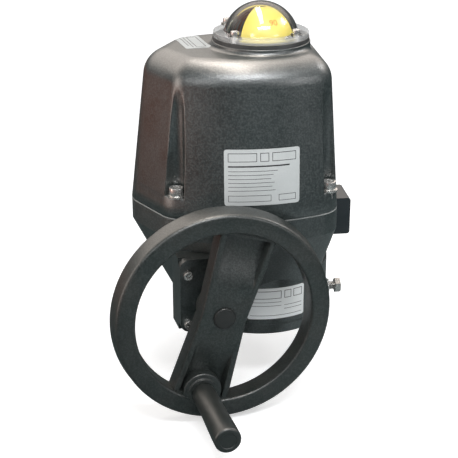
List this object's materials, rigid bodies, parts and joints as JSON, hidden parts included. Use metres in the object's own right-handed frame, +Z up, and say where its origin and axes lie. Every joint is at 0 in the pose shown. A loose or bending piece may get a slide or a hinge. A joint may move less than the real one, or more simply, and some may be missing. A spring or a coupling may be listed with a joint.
{
  "type": "electric quarter-turn valve actuator",
  "caption": "Electric quarter-turn actuator: domed position indicator on a tall cover, cast base with square drive, worm gear and a front handwheel with crank grip.",
  "frame": {"origin": "centre of the valve flange's lower face, on the output axis", "axes": "+Z up along the output axis, -Y towards the front with the label and handwheel, +X right, towards the stop screw and cable box"},
  "size_m": [0.2456, 0.3039, 0.3622],
  "materials": {
    "casting": "fine textured satin",
    "cover_paint": "fine textured satin",
    "gasket": "matt",
    "stainless": "bright",
    "clear": "clear",
    "black_rubber": "matt",
    "steel": "machined",
    "bronze": "machined",
    "black_plastic": "matt",
    "yellow": "semi gloss",
    "wheel_plastic": "matt",
    "cap_plastic": "semi gloss",
    "white_plastic": "matt",
    "alloy": "plain",
    "board_green": "lacquered",
    "box_paint": "fine textured satin"
  },
  "bodies": {
    "housing": {"base_housing": "casting", "cover": "cover_paint", "cover_gasket": "gasket", "cover_screws": "stainless", "cover_washers": "stainless", "dome_window": "clear", "dome_gasket": "black_rubber", "dome_screws": "stainless", "stop_screws": "stainless", "stop_lock_nuts": "stainless", "lower_bush": "bronze", "upper_bush": "bronze", "output_seal": "black_rubber", "bearing_plate": "alloy", "worm_bearings": "steel", "worm_cover_plate": "casting", "plate_screws": "stainless", "shaft_seal": "black_rubber", "cable_box": "box_paint", "cable_gland": "black_plastic", "blanking_plug": "black_plastic", "gear_plate": "alloy", "motor_body": "steel", "idler_pin": "steel", "chassis_pillars": "steel", "chassis_plate": "alloy", "limit_switches": "black_plastic", "switch_bracket": "alloy", "control_board": "board_green", "terminal_block": "white_plastic", "heater": "alloy"},
    "output": {"output_drive": "steel", "drive_key": "steel", "stop_cam": "steel", "worm_wheel": "bronze", "indicator_shaft": "steel", "limit_cams": "white_plastic", "indicator_hub": "black_plastic", "indicator_sectors": "yellow"},
    "worm_line": {"worm_shaft": "steel", "handwheel_key": "steel", "worm_gear": "steel", "handwheel": "wheel_plastic", "handwheel_cap": "cap_plastic", "crank_spindle": "steel"},
    "grip": {"crank_grip": "cap_plastic"},
    "idler": {"idler_gear": "steel"},
    "motor_rotor": {"motor_pinion": "steel"}
  },
  "joints": [
    {"name": "handwheel_turn", "type": "hinge", "parent": "housing", "child": "worm_line", "pos_m": [-0.06656, -0.00995, 0.0472], "axis": [0.1478, -0.989, 0], "range_deg": [0, 3960]},
    {"name": "output_turn", "type": "hinge", "parent": "housing", "child": "output", "pos_m": [0, 0, 0.0472], "axis": [0, 0, 1], "range_deg": [0, 90]},
    {"name": "grip_spin", "type": "hinge", "parent": "worm_line", "child": "grip", "pos_m": [-0.07007, -0.13282, -0.02357], "axis": [0.1478, -0.989, 0], "continuous": true},
    {"name": "idler_spin", "type": "hinge", "parent": "housing", "child": "idler", "pos_m": [-0.07159, 0.02368, 0.0872], "axis": [0.1478, -0.989, 0], "range_deg": [-2640, 0]},
    {"name": "motor_spin", "type": "hinge", "parent": "housing", "child": "motor_rotor", "pos_m": [-0.07159, 0.02368, 0.1192], "axis": [0.1478, -0.989, 0], "range_deg": [0, 7920]}
  ],
  "couplings": [
    {"joint": "output_turn", "follows": "handwheel_turn", "ratio": 0.022727},
    {"joint": "idler_spin", "follows": "handwheel_turn", "ratio": -0.66667},
    {"joint": "motor_spin", "follows": "handwheel_turn", "ratio": 2}
  ]
}
